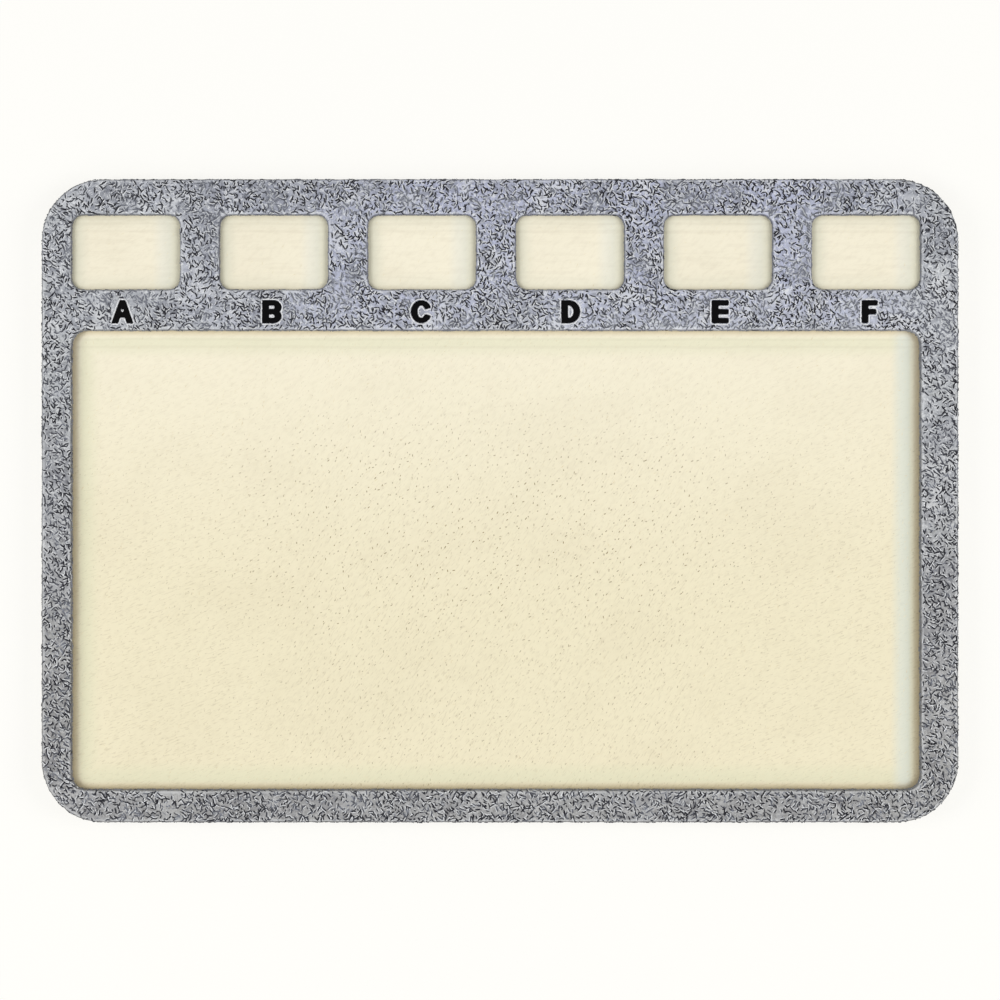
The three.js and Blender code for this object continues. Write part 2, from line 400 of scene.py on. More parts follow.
def felt_finish(name, felt, cut_top=None):
    """Grey melange felt: pale and charcoal wool needled into a mid grey, with painted shade on its cut
    walls over a little darker tone of the cut felt's own.
    """
    look = Finish(name, felt.mid)
    place = look.place()
    tufts = look.noise(place, 1.1, detail=4, roughness=0.65, distortion=0.6)
    felt_clouds(look, felt, tufts)
    pale = look.strokes(look.place(0.11), size=1.7, width=0.07, broken=0.46)
    look.cover(0.6 * pale, felt.pale)
    dark = look.strokes(look.place(0.23), size=1.9, width=0.06, broken=0.5)
    strength = 0.9 if cut_top is None else 0.35
    look.cover(strength * dark, felt.dark)
    # Painted shade: darker, warmer felt towards the front.
    front = look.ramp(look.part(place, "Y"), 80, -80)
    look.cover(0.45 * front, felt.near)
    if cut_top is not None:
        felt_cuts(look, felt, cut_top)
    height = tufts + 0.3 * pale - 0.3 * dark
    look.sheen(weight=0.2, roughness=0.6)
    return look.surface(
        base_color=look.tone,
        roughness=0.85 + 0.15 * tufts,
        normal=look.bump(height, depth=0.4, strength=0.5),
    )


def felt_clouds(look, felt, tufts):
    """Changes of the felt's grey between the tufts, from patch to patch and across the mat."""
    place = look.place()
    across = look.part(place, "X")
    far = look.ramp(look.part(place, "Y"), 35, 65)
    far = far * look.ramp(across, -150, -20) * look.ramp(across, 148, 112)
    clouds = look.patches(16, 0.42, 0.58, detail=3)
    look.cover(0.12 * clouds + 0.7 * far, felt.tint)
    look.cover(0.4 * look.ramp(tufts, 0.6, 0.36), felt.shade)
    look.cover(0.5 * look.patches(11, 0.52, 0.66, shift=0.7), felt.pale)
    look.cover(0.7 * look.patches(4.5, 0.48, 0.32, shift=0.37), felt.shade)
    murky = look.patches(20, 0.52, 0.32, detail=1, shift=0.9)
    left = look.ramp(across, *TOWARDS_LEFT)
    look.cover(0.5 * murky + 0.12 * left, felt.shade)


def felt_cuts(look, felt, top):
    """The strip of felt that the letters lie on, the pale rims, the cut walls in painted shade over a
    little darker tone of their own, and a painted shade line along the top edges.
    """
    across, along, up = (look.part(look.place(), axis) for axis in "XYZ")
    above = up - top / MM
    strip = look.ramp(abs(along - LETTER_ROW), 11, 6)
    left = look.ramp(across, *TOWARDS_LEFT)
    look.cover(0.1 * strip * (1 - left), felt.pale)
    brim = look.attribute("brim")
    rim = look.ramp(brim, 0.42, 0.3) * look.ramp(brim, 0.12, 0.2)
    look.cover(0.25 * rim, felt.pale)
    # Painted shade on the cut walls: a little on every wall as the cut felt's own darker tone, much more
    # inside the holes and towards their foot, and less on the wall that faces the front.
    width, depth, _ = felt_high / MM
    inside = look.ramp(abs(across), width - 5, width - 7) * look.ramp(abs(along), depth - 5, depth - 7)
    facing = look.ramp(abs(along - WORK_AREA_BACK), 4, 2)
    wall = look.ramp(above, -0.45, -0.8)
    foot = look.ramp(above, -1.2, -2.8)
    look.cover(wall * (0.2 + inside * (0.5 + 0.2 * foot - 0.3 * facing)), felt.cut)
    # Painted shade: a dark line along the felt's top edges, stronger on the mat's outer edge.
    line = look.ramp(brim, 0.15, 0.05)
    upper = look.ramp(above, -0.9, -0.6)
    look.cover(line * upper * (0.85 - 0.3 * inside), felt.cut)


def fibre_finish(name, first, second, patchy=0.0):
    """Wool fibres of one shade that drifts between two tones from place to place."""
    look = Finish(name, first)
    fine = look.patches(3, 0.5, 0.8, detail=1)
    broad = look.patches(9, 0.5, 0.66, detail=1, shift=0.4)
    back = look.ramp(look.part(look.place(), "Y"), 30, 60)
    drift = fine + patchy * (0.3 + 0.7 * back) * broad * (1 - fine)
    look.cover(drift, second)
    return look.surface(base_color=look.tone, roughness=0.8 + 0.1 * drift)


def plush_finish(name, pad):
    """Cream plush with a short nap brushed to one side, faint strokes and pin-point pits."""
    look = Finish(name, pad.cream)
    from_middle = abs(look.part(look.place(), "X"))
    along = look.part(look.place(), "Y")
    in_bays = look.ramp(along, *TOWARDS_BAYS)
    # Painted light: paler cream towards the back.
    back = look.ramp(along, -45, 85)
    look.cover(back, pad.back_light_cream)
    ripple = look.noise(look.place(0.3, pad.nap_angle, stretch=2), 1.3, detail=3)
    look.cover(0.05 * look.ramp(ripple, 0.55, 0.3), pad.shade)
    look.cover(0.03 * look.patches(30, 0.55, 0.35, shift=0.5), pad.shade)
    # Painted shade: bays further from the middle are darker; rows are faint darker stripes in every bay.
    outer = look.ramp(from_middle, 10, 100)
    rows = look.patches(1.6, 0.5, 0.35, shift=0.9, stretch=7)
    look.cover((0.04 * outer + 0.04 * rows) * in_bays, pad.shade)
    steep = look.dashes(pad.nap_angle + ASKEW)
    level = look.dashes(pad.nap_angle - ASKEW)
    dashes = steep + look.ramp(from_middle, 50, 95) * (level - steep)
    look.cover(0.15 * dashes * (1 - 0.8 * back), pad.shade)
    dots = look.pits(1.9, width=0.26, run=0.45, angle=pad.nap_angle + ASKEW)
    strong = 1 - 0.8 * look.ramp(along, 0, 45)
    strong = strong * (1 - 0.4 * look.ramp(along, -15, -60))
    strong = strong * (1 - 0.65 * look.ramp(from_middle, 50, 110))
    pits = dots * strong * (1 - in_bays)
    look.cover(pits, pad.shade)
    pad_edges(look, pad, in_bays)
    height = ripple * (0.5 - 0.4 * in_bays) - 0.4 * pits
    look.sheen(weight=0.15, roughness=0.4)
    return look.surface(
        base_color=look.tone,
        roughness=0.82 + 0.1 * ripple,
        normal=look.bump(height, depth=0.15, strength=0.8),
    )


def pad_edges(look, pad, in_bays):
    """Painted light and shade on the pad along the felt's walls: a painted highlight on its slope,
    cooler painted light on its right, painted shade round a bay's rim and warm painted shade beside the
    wall, with two faint darker lines at the back.
    """
    edging = look.attribute("edging")
    # Painted highlight on the pad's slope along the felt.
    slope = look.ramp(edging, 0, 0.6) * look.ramp(edging, 0.88, 0.68)
    look.cover(slope * (0.5 - 0.5 * in_bays), pad.lit)
    aside = look.attribute("aside")
    # Painted cool light on the pad's slope by each hole's right wall.
    right = look.ramp(aside, 0, 0.45) * look.ramp(aside, 0.85, 0.6)
    look.cover(right * (0.4 - 0.2 * in_bays), pad.cool_light)
    # Painted shade round each bay's rim.
    rim = 0.2 * look.ramp(edging, 0.3, 1.1) + 0.3 * look.ramp(abs(aside), 0.3, 1.1)
    look.cover(rim * in_bays, pad.rim)
    waves = look.noise(look.place(0.8, stretch=9), 2.2)
    wavy = look.attribute("behind") + 0.12 * (waves - 0.5)
    # Two faint darker lines along the back of each hole.
    back_lines = look.ramp(abs(wavy - 0.47), 0.07, 0.02) + look.ramp(abs(wavy - 0.72), 0.06, 0.02)
    look.cover(0.05 * back_lines, pad.shade)
    # Warm painted shade beside the felt's walls.
    beside = look.ramp(edging, 0.76, 1) * (0.55 - 0.4 * in_bays)
    look.cover(beside, pad.edging)


def letter_finish(name, letters):
    """Black pressed film with a faint grain where the felt shows through."""
    lifted = tuple(min(1, 2.2 * level) for level in letters.black[:3]) + (1,)
    look = Finish(name, letters.black)
    grain = look.noise(look.place(), 0.5, detail=3)
    look.cover(look.ramp(grain, 0.45, 0.75), lifted)
    look.shader.inputs["Specular IOR Level"].default_value = 0.05
    return look.surface(
        base_color=look.tone,
        roughness=0.4 + 0.3 * grain,
        normal=look.bump(grain, depth=0.08, strength=0.5),
    )


def glue_finish(name):
    """Milky adhesive film with amber swirls."""
    look = Finish(name, shown(228, 223, 208))
    swirl = look.noise(look.place(), 6, distortion=1)
    look.cover(swirl, shown(206, 196, 170))
    return look.surface(base_color=look.tone, roughness=0.35 + 0.3 * swirl)


def floor_finish(name, tone):
    """A pale floor that fades into the background and keeps a soft shadow."""
    look = Finish(name, tone)
    speckle = look.noise(look.place(), 40)
    look.cover(0.02 * speckle, (0.9, 0.9, 0.9, 1))
    look.surface(base_color=look.tone, roughness=0.9)
    lit = Wire(look, look.shader.outputs[0])
    glow = look.node("ShaderNodeEmission", inputs={"Color": tone, "Strength": 1.0})
    look.end("Material Output", 0.8 * look.seen(), lit, glow)
    return look.material


def linked(name, data):
    """A new object in the scene."""
    made = bpy.data.objects.new(name, data)
    bpy.context.scene.collection.objects.link(made)
    return made


def mesh_of(name, bm):
    """A mesh of all that a bmesh holds."""
    mesh = bpy.data.meshes.new(name)
    bm.to_mesh(mesh)
    bm.free()
    return mesh


def copied_solid(node):
    """A node's solid as a bmesh, with its loose triangles welded."""
    bm = bmesh.new()
    bm.from_mesh(frame["nodes"][node].data)
    bmesh.ops.remove_doubles(bm, verts=bm.verts, dist=WELD)
    return bm


def evenly_celled(bm, cell):
    """The solid rebuilt from even square cells, which softens its edges."""
    mesh = mesh_of("cells", bm)
    holder = linked("cells", mesh)
    remesh = holder.modifiers.new("cells", "REMESH")
    remesh.mode = "VOXEL"
    remesh.voxel_size = cell
    even = bmesh.new()
    even.from_object(holder, bpy.context.evaluated_depsgraph_get())
    bpy.data.objects.remove(holder)
    bpy.data.meshes.remove(mesh)
    return even


def add_piece(name, bm, finish, slot, *replaced):
    """Makes a bmesh one of the mat's pieces, in place of the solids that it stands for."""
    mesh = mesh_of(name, bm)
    mesh.shade_smooth()
    return add_mesh(name, mesh, finish, slot, *replaced)


def add_mesh(name, mesh, finish, slot, *replaced):
    """Makes a mesh one of the mat's pieces."""
    mesh.materials.clear()
    mesh.materials.append(finish)
    piece = linked(name, mesh)
    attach(piece, BODY)
    if replaced:
        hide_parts(*replaced)
    return piece


def wave(place, width, seed):
    """Smooth noise from -1 to 1 with hills about a width apart."""
    return noise.noise(place / width + Vector((seed, 2 * seed, 3 * seed)))


@functools.cache
def felt_walls():
    """The felt frame's solid, for measuring from."""
    bm = copied_solid("felt_frame")
    walls = BVHTree.FromBMesh(bm)
    bm.free()
    return walls


def wall_distance(x, y):
    """Distance from a place at the felt's half height to its faces: in the felt, at most that half."""
    return felt_walls().find_nearest(Vector((x, y, felt_middle)))[3]


def open_holes():
    """The name and the low and high corner of each hole that the felt leaves open."""
    walls = felt_walls()
    holes = []
    for opening in frame["record"]["physics"]["openings"]:
        low, high = map(Vector, opening["box_m"])
        middle = (low + high) / 2
        middle.z = felt_middle
        for axis in (0, 1):
            forward = Vector((axis == 0, axis == 1, 0))
            low[axis] = walls.ray_cast(middle, -forward)[0][axis]
            high[axis] = walls.ray_cast(middle, forward)[0][axis]
        holes.append((opening["name"], low, high))
    return holes


def wall_stops(holes, axis):
    """Where the holes' walls cross one axis, between the mat's two edges."""
    stops = {round(felt_low[axis], 6), round(felt_high[axis], 6)}
    for _, low, high in holes:
        stops |= {round(low[axis], 6), round(high[axis], 6)}
    return sorted(stops)


def spaced(stops, cell):
    """Coordinates that keep every stop and put about a cell between neighbours."""
    marks = [stops[0]]
    for start, end in zip(stops, stops[1:]):
        steps = max(1, round((end - start) / cell))
        marks += [start + (end - start) * (step + 1) / steps for step in range(steps)]
    return marks


def flat_sheet(across, along, height):
    """A level grid with lines at the given coordinates."""
    bm = bmesh.new()
    columns = len(across) - 1
    rows = len(along) - 1
    bmesh.ops.create_grid(bm, x_segments=columns, y_segments=rows, size=1)
    for vert in bm.verts:
        column = round((vert.co.x + 1) / 2 * columns)
        row = round((vert.co.y + 1) / 2 * rows)
        vert.co = (across[column], along[row], height)
    return bm


def round_corners(bm, radius, steps=12):
    """Trims a level sheet of the mat's outline to its rounded corners."""
    for right in (-1, 1):
        for back in (-1, 1):
            centre = Vector((right * (felt_high.x - radius), back * (felt_high.y - radius), 0))
            near = [f for f in bm.faces if is_beyond(f.calc_center_median(), centre, right, back)]
            geom = list(dict.fromkeys(part for f in near for part in (f, *f.edges, *f.verts)))
            for step in range(steps):
                angle = (step + 0.5) / steps * math.pi / 2
                outward = Vector((right * math.cos(angle), back * math.sin(angle), 0))
                reach = radius * math.cos(math.pi / 4 / steps)
                plane = {"plane_co": centre + outward * reach, "plane_no": outward}
                cut = bmesh.ops.bisect_plane(bm, geom=geom, dist=WELD, clear_outer=True, **plane)
                geom = cut["geom"]
    bmesh.ops.remove_doubles(bm, verts=bm.verts, dist=10 * WELD)


def is_beyond(point, centre, right, back):
    return right * (point.x - centre.x) > -MM and back * (point.y - centre.y) > -MM


def thicken(bm, bottom, rows):
    """Draws a sheet's edge down to a level in rows and closes it underneath."""
    edge = [e for e in bm.edges if e.is_boundary]
    top = edge[0].verts[0].co.z
    for row in range(rows):
        level = top + (bottom - top) * (row + 1) / rows
        drawn = bmesh.ops.extrude_edge_only(bm, edges=edge)["geom"]
        edge = [part for part in drawn if isinstance(part, bmesh.types.BMEdge) and part.is_boundary]
        for vert in {v for e in edge for v in e.verts}:
            vert.co.z = level
    bmesh.ops.edgeloop_fill(bm, edges=edge)
    bmesh.ops.recalc_face_normals(bm, faces=bm.faces)


class BEADMAT_OT_felt_frame(bpy.types.Operator):
    """Build the thick felt frame with its soft, slightly uneven surface"""

    bl_idname = "beadmat.felt_frame"
    bl_label = "Felt Frame"

    def execute(self, context):
        felt = context.scene.bead_mat.felt
        bm = evenly_celled(copied_solid("felt_frame"), felt.cell)
        all_axes = {"use_axis_" + axis: True for axis in "xyz"}
        bmesh.ops.smooth_vert(bm, verts=bm.verts, factor=0.5, **all_axes)
        bm.normal_update()
        brim = bm.verts.layers.float.new("brim")
        for vert in bm.verts:
            vert[brim] = wall_distance(vert.co.x, vert.co.y) / felt_thickness
            lumps = felt.lump * wave(vert.co, felt.lump_width, seed=3)
            tufts = felt.pile * wave(vert.co, felt.pile_width, seed=7)
            vert.co += vert.normal * (lumps + tufts)
            if any(is_within(vert.co, *box) for box in letter_boxes):
                vert.co.z = min(vert.co.z, felt_high.z)
            vert.co.z = max(vert.co.z, felt_low.z)
        finish = felt_finish("grey_felt", felt, felt_high.z)
        add_piece("felt_frame_soft", bm, finish, "grey_felt", "felt_frame")
        return {"FINISHED"}


def is_within(point, low, high, margin=0):
    """Whether a point lies within a box seen from above, or a margin beside it."""
    across = low.x - margin < point.x < high.x + margin
    return across and low.y - margin < point.y < high.y + margin


class BEADMAT_OT_base_felt(bpy.types.Operator):
    """Build the thin felt base with its uneven underside"""

    bl_idname = "beadmat.base_felt"
    bl_label = "Felt Base"

    def execute(self, context):
        felt = context.scene.bead_mat.felt
        across = spaced([base_low.x, base_high.x], felt.base_cell)
        along = spaced([base_low.y, base_high.y], felt.base_cell)
        bm = flat_sheet(across, along, base_low.z)
        round_corners(bm, felt.corner)
        for vert in bm.verts:
            lumps = wave(vert.co, felt.lump_width, seed=11)
            tufts = wave(vert.co, 2 * felt.pile_width, seed=13)
            if not vert.is_boundary:
                vert.co.z += felt.lump * max(0, lumps + tufts)
        thicken(bm, base_high.z, rows=3)
        finish = felt_finish("grey_base_felt", felt)
        piece = add_piece("base_felt_soft", bm, finish, "grey_felt", "base_felt")
        return {"FINISHED"}


class BEADMAT_OT_felt_fibres(bpy.types.Operator):
    """Scatter loose fibres over the felt and along its cut edges"""

    bl_idname = "beadmat.felt_fibres"
    bl_label = "Felt Fibres"

    def execute(self, context):
        settings = context.scene.bead_mat
        fibres = settings.fibres
        felt = settings.felt
        body = bpy.data.objects["felt_frame_soft"]
        base = bpy.data.objects["base_felt_soft"]
        surface = BVHTree.FromObject(body, context.evaluated_depsgraph_get())

        def sparse(x, y):
            return min(1, wall_distance(x, y) / fibres.clear)

        dark_spots = self.flowing_spots(surface, fibres, fibres.count, 0.8, sparse, seed=21)
        dark_paths = self.laid(surface, dark_spots)
        grey_spots = self.flowing_spots(surface, fibres, fibres.grey_count, 1, lambda x, y: 1, seed=24)
        grey_paths = self.laid(surface, grey_spots)
        pale_paths = self.laid(surface, self.pale_spots(dark_paths, fibres))
        frame_sides = [v for v in body.data.vertices if is_upright(v)]
        base_sides = [v for v in base.data.vertices if is_upright(v)]
        outer = [v for v in frame_sides if is_outer(v)]
        inner = [v for v in frame_sides if not is_outer(v)]
        rng = random.Random(25)
        half = fibres.side_count // 2
        side_paths = upright_paths(rng, outer, half, fibres.run, felt_low.z, felt_high.z)
        side_paths += upright_paths(rng, base_sides, half, fibres.run, base_low.z, base_high.z)
        wall_paths = upright_paths(rng, inner, fibres.wall_count, fibres.run, felt_low.z, felt_high.z)
        fuzz_paths = standing_paths(body, fibres.fuzz_count, fibres.reach, seed=23)
        dark = fibre_finish("dark_wool", felt.dark, felt.shade, patchy=0.8)
        grey = fibre_finish("grey_wool", felt.shade, felt.mid)
        pale = fibre_finish("pale_wool", felt.pale, felt.mid, patchy=0.8)
        fuzz = fibre_finish("edge_wool", felt.shade, felt.dark)
        wall = fibre_finish("wall_wool", felt.shade, felt.dark)
        add_strands("felt_dark_fibres_1", dark_paths[::2], fibres.dark_width, dark)
        add_strands("felt_dark_fibres_2", dark_paths[1::2], fibres.dark_width, dark)
        add_strands("felt_side_fibres", side_paths, fibres.grey_width, dark)
        add_strands("felt_wall_fibres", wall_paths, fibres.grey_width, wall)
        add_strands("felt_grey_fibres", grey_paths, fibres.grey_width, grey)
        add_strands("felt_pale_fibres", pale_paths, fibres.pale_width, pale)
        add_strands("felt_edge_fuzz", fuzz_paths, fibres.fuzz_width, fuzz)
        return {"FINISHED"}

    def laid(self, surface, spots):
        """Level paths laid onto the felt, without those that miss it."""
        return [path for path in (lying_path(surface, level) for level in spots) if path]

    def flowing_spots(self, surface, fibres, count, share, sparse, seed):
        """Curly level paths that flow together, spread over a share of the felt in soft clumps."""
        rng = random.Random(seed)

        def wanted(x, y):
            spot = Vector((x, y, 0))
            clump = share + 0.8 * wave(spot, 8 * MM, seed) + 0.6 * wave(spot, 24 * MM, seed=27)
            return rng.random() < clump * sparse(x, y) and felt_top(surface, x, y)

        for x, y in scattered(rng, wanted, count, fibres.apart):
            drift = 0.5 * wave(Vector((x, y, 0)), 13 * MM, seed=17)
            heading = drift + rng.choice(LEANS) * fibres.lean + rng.gauss(0, 0.25)
            curl = rng.gauss(0, 0.3)
            step = fibres.run * rng.uniform(0.3, 1.1) / 2
            bends = [curl + rng.gauss(0, 0.15) for _ in range(2)]
            tries = [curled(x, y, heading + turn * math.pi / 2, bends, step) for turn in range(4)]
            whole = [path for path in tries if all(felt_top(surface, *spot) for spot in path)]
            yield (whole or tries)[0]

    def pale_spots(self, dark_paths, fibres):
        """Level paths beside some of the charcoal fibres."""
        rng = random.Random(22)
        for path in rng.sample(dark_paths, 2 * len(dark_paths) // 3):
            run = path[-1] - path[0]
            sideways = Vector((-run.y, run.x, 0)).normalized() * fibres.beside * rng.choice((-1, 1))
            yield [(place + sideways).xy for place in path]


def upright_paths(rng, verts, count, run, bottom, top):
    """Short paths that lie on upright walls, each near one of the given vertices."""
    paths = []
    for vert in rng.choices(verts, k=count):
        out = Vector((vert.normal.x, vert.normal.y, 0)).normalized()
        along = Vector((-out.y, out.x, 0))
        heading = rng.uniform(0, 2 * math.pi)
        place = vert.co + along * rng.uniform(-0.8, 0.8) * MM
        path = []
        for _ in range(3):
            path.append(place.copy())
            heading += rng.gauss(0, 0.4)
            step = along * math.cos(heading) + Vector((0, 0, math.sin(heading)))
            place = place + step * run * rng.uniform(0.1, 0.45)
            place.z = min(max(place.z, bottom + 0.2 * MM), top - 0.3 * MM)
        paths.append(path)
    return paths


def is_upright(vert):
    return abs(vert.normal.z) < 0.4


def is_outer(vert):
    """Whether a vertex of a side wall looks away from the middle and lies at the mat's edge."""
    far = abs(vert.co.x) > felt_high.x - OUTER_RIM or abs(vert.co.y) > felt_high.y - OUTER_RIM
    return far and vert.normal.dot(vert.co) > 0


def curled(x, y, heading, bends, step):
    """A level path from a place that turns by each bend in turn."""
    path = [(x, y)]
    for bend in bends:
        heading += bend
        x += step * math.cos(heading)
        y += step * math.sin(heading)
        path.append((x, y))
    return path


def scattered(rng, top, count, apart, tries=60):
    """Places on the mat that have a top and keep a distance from each other."""
    # A cell is too small for two places, and two cells to each side cover the distance.
    cell = apart / 1.5
    taken = {}
    for _ in range(tries * count):
        x = rng.uniform(felt_low.x, felt_high.x)
        y = rng.uniform(felt_low.y, felt_high.y)
        column = math.floor(x / cell)
        row = math.floor(y / cell)
        around = [(column + i, row + j) for i in range(-2, 3) for j in range(-2, 3)]
        if any(key in taken and math.dist(taken[key], (x, y)) < apart for key in around):
            continue
        if top(x, y):
            taken[column, row] = (x, y)
        if len(taken) == count:
            break
    return list(taken.values())


def felt_top(surface, x, y):
    """The point on top of the felt above a place, or nothing off the felt and under a letter."""
    hit = surface.ray_cast(Vector((x, y, felt_high.z + MM)), DOWN, 2 * MM)[0]
    covered = hit and any(is_within(hit, *box) for box in letter_boxes)
    return None if covered else hit


def lying_path(surface, spots):
    """A level path laid onto the felt up to where it leaves the felt, or nothing if little is left."""
    path = []
    for index, (x, y) in enumerate(spots):
        hit = felt_top(surface, x, y)
        if hit is None:
            break
        arch = math.sin(math.pi * index / (len(spots) - 1))
        path.append(hit + Vector((0, 0, (0.08 * arch - 0.04) * MM)))
    return path if len(path) > 1 else None


def standing_paths(body, count, reach, seed, points=4):
    """Short paths that stand out of the felt's cut walls and droop a little."""
    rng = random.Random(seed)
    walls = [v for v in body.data.vertices if abs(v.normal.z) < 0.75]
    paths = []
    for vert in rng.sample(walls, count):
        heading = vert.normal + Vector((rng.gauss(0, 0.7), rng.gauss(0, 0.7), rng.gauss(0.1, 0.3)))
        step = reach * rng.uniform(0.4, 1.4) / (points - 1)
        place = vert.co - vert.normal * 0.1 * MM
        path = []
        for _ in range(points):
            path.append(place.copy())
            heading += Vector((rng.gauss(0, 0.3), rng.gauss(0, 0.3), rng.gauss(-0.1, 0.2)))
            place = place + heading.normalized() * step
        paths.append(path)
    return paths


def add_strands(name, paths, width, finish, slot="grey_felt"):
    """Makes paths into one piece of thin tapered fibres."""
    curve = bpy.data.curves.new(name, "CURVE")
    curve.dimensions = "3D"
    curve.bevel_depth = width / 2
    curve.bevel_resolution = 0
    curve.use_fill_caps = True
    rng = random.Random(len(paths))
    for path in paths:
        spline = curve.splines.new("POLY")
        spline.points.add(len(path) - 1)
        thickness = rng.uniform(0.6, 1.15)
        for index, (point, place) in enumerate(zip(spline.points, path)):
            point.co = (*place, 1)
            point.radius = thickness * (0.6 + 0.4 * math.sin(math.pi * (index + 0.5) / len(path)))
    holder = linked(name, curve)
    round_strands = holder.evaluated_get(bpy.context.evaluated_depsgraph_get())
    mesh = bpy.data.meshes.new_from_object(round_strands)
    bpy.data.objects.remove(holder)
    bpy.data.curves.remove(curve)
    mesh.name = name
    mesh.shade_smooth()
    return add_mesh(name, mesh, finish, slot)


class BEADMAT_OT_bead_pad(bpy.types.Operator):
    """Build the cream pad, pressed under the felt and swelling up through each opening"""

    bl_idname = "beadmat.bead_pad"
    bl_label = "Bead Pad"

    def execute(self, context):
        settings = context.scene.bead_mat
        pad = settings.pad
        holes = open_holes()
        across = spaced(wall_stops(holes, 0), pad.cell)
        along = spaced(wall_stops(holes, 1), pad.cell)
        bm = flat_sheet(across, along, pad_pressed_top)
        round_corners(bm, settings.felt.corner)
        brush = Matrix.Rotation(-pad.nap_angle, 3, "Z")
        edging = bm.verts.layers.float.new("edging")
        aside = bm.verts.layers.float.new("aside")
        behind = bm.verts.layers.float.new("behind")

        def nearness(distance):
            return max(0, 1 - distance / pad.edge)

        for vert in bm.verts:
            place = Vector((vert.co.x, vert.co.y, felt_middle))
            covered = felt_walls().ray_cast(place + Vector((0, 0, 10 * MM)), DOWN)[0] is not None
            distance = wall_distance(place.x, place.y)
            inward = 0 if covered else distance
            vert[edging] = nearness(inward)
            hole = next((hole for hole in holes if is_within(place, *hole[1:], pad.lip)), None)
            if hole is None or covered and distance > pad.lip:
                continue
            _, low, high = hole
            vert[aside] = nearness(high.x - place.x) - nearness(place.x - low.x)
            vert[behind] = nearness(high.y - place.y)
            brushed = brush @ vert.co
            brushed.x /= 2.5
            nap = pad.nap * wave(brushed, pad.nap_width, seed=5) * min(1, inward / pad.shoulder)
            vert.co.z += self.swell(pad, place, hole, inward) + nap
        thicken(bm, pad_bottom, rows=3)
        finish = plush_finish("cream_plush", pad)
        piece = add_piece("bead_pad_plush", bm, finish, "cream_plush", "bead_pad")
        return {"FINISHED"}

    def swell(self, pad, place, hole, inward):
        """How far the pad stands above its pressed level at a distance inward from a hole's wall."""
        name, low, high = hole
        if name != "work_area":
            return pad.bay_foot + (pad.bay_rise - pad.bay_foot) * rounded(inward / pad.bay_shoulder)
        beside = min(place.x - low.x, high.x - place.x)
        behind = max(0, high.y - place.y)
        pushed = max(0, 1 - behind / pad.fold) ** 2 * min(1, max(0, beside / pad.fold))
        return pad.rise * rounded(inward / pad.shoulder) + pad.lift * pushed


def rounded(share):
    """The height of a quarter round at a share of its width."""
    return math.sqrt(1 - (1 - min(1, share)) ** 2)


class BEADMAT_OT_pad_tufts(bpy.types.Operator):
    """Scatter brushed tufts over the pad's nap"""

    bl_idname = "beadmat.pad_tufts"
    bl_label = "Pad Tufts"

    def execute(self, context):
        pad = context.scene.bead_mat.pad
        body = bpy.data.objects["bead_pad_plush"]
        surface = BVHTree.FromObject(body, context.evaluated_depsgraph_get())
        rng = random.Random(31)

        def pad_top(x, y):
            return open_top(surface, x, y)

        paths = []
        for x, y in scattered(rng, pad_top, pad.tufts, pad.tuft_gap):
            back = min(1, max(0, (y - 20 * MM) / (40 * MM)))
            if rng.random() < 0.8 * back:
                continue
            drift = 0.6 * wave(Vector((x, y, 0)), 40 * MM, seed=19)
            heading = pad.nap_angle + ASKEW + drift + rng.gauss(0, 0.3)
            step = pad.tuft_run * rng.uniform(0.3, 1.4) / 2
            path = []
            for lift in TUFT_ARCH:
                top = pad_top(x, y)
                if top is None:
                    break
                path.append(top + Vector((0, 0, lift)))
                heading += rng.gauss(0, 0.25)
                x += step * math.cos(heading)
                y += step * math.sin(heading)
            if len(path) == len(TUFT_ARCH):
                paths.append(path)
        finish = fibre_finish("nap_wool", pad.cream, pad.brushed)
        add_strands("bead_pad_tufts", paths, pad.tuft_width, finish, "cream_plush")
        return {"FINISHED"}


def open_top(surface, x, y):
    """The point on the pad that shows through an opening at a place, or nothing under the felt."""
    above = Vector((x, y, felt_high.z + MM))
    if felt_walls().ray_cast(above, DOWN)[0] is not None:
        return None
    return surface.ray_cast(above, DOWN)[0]


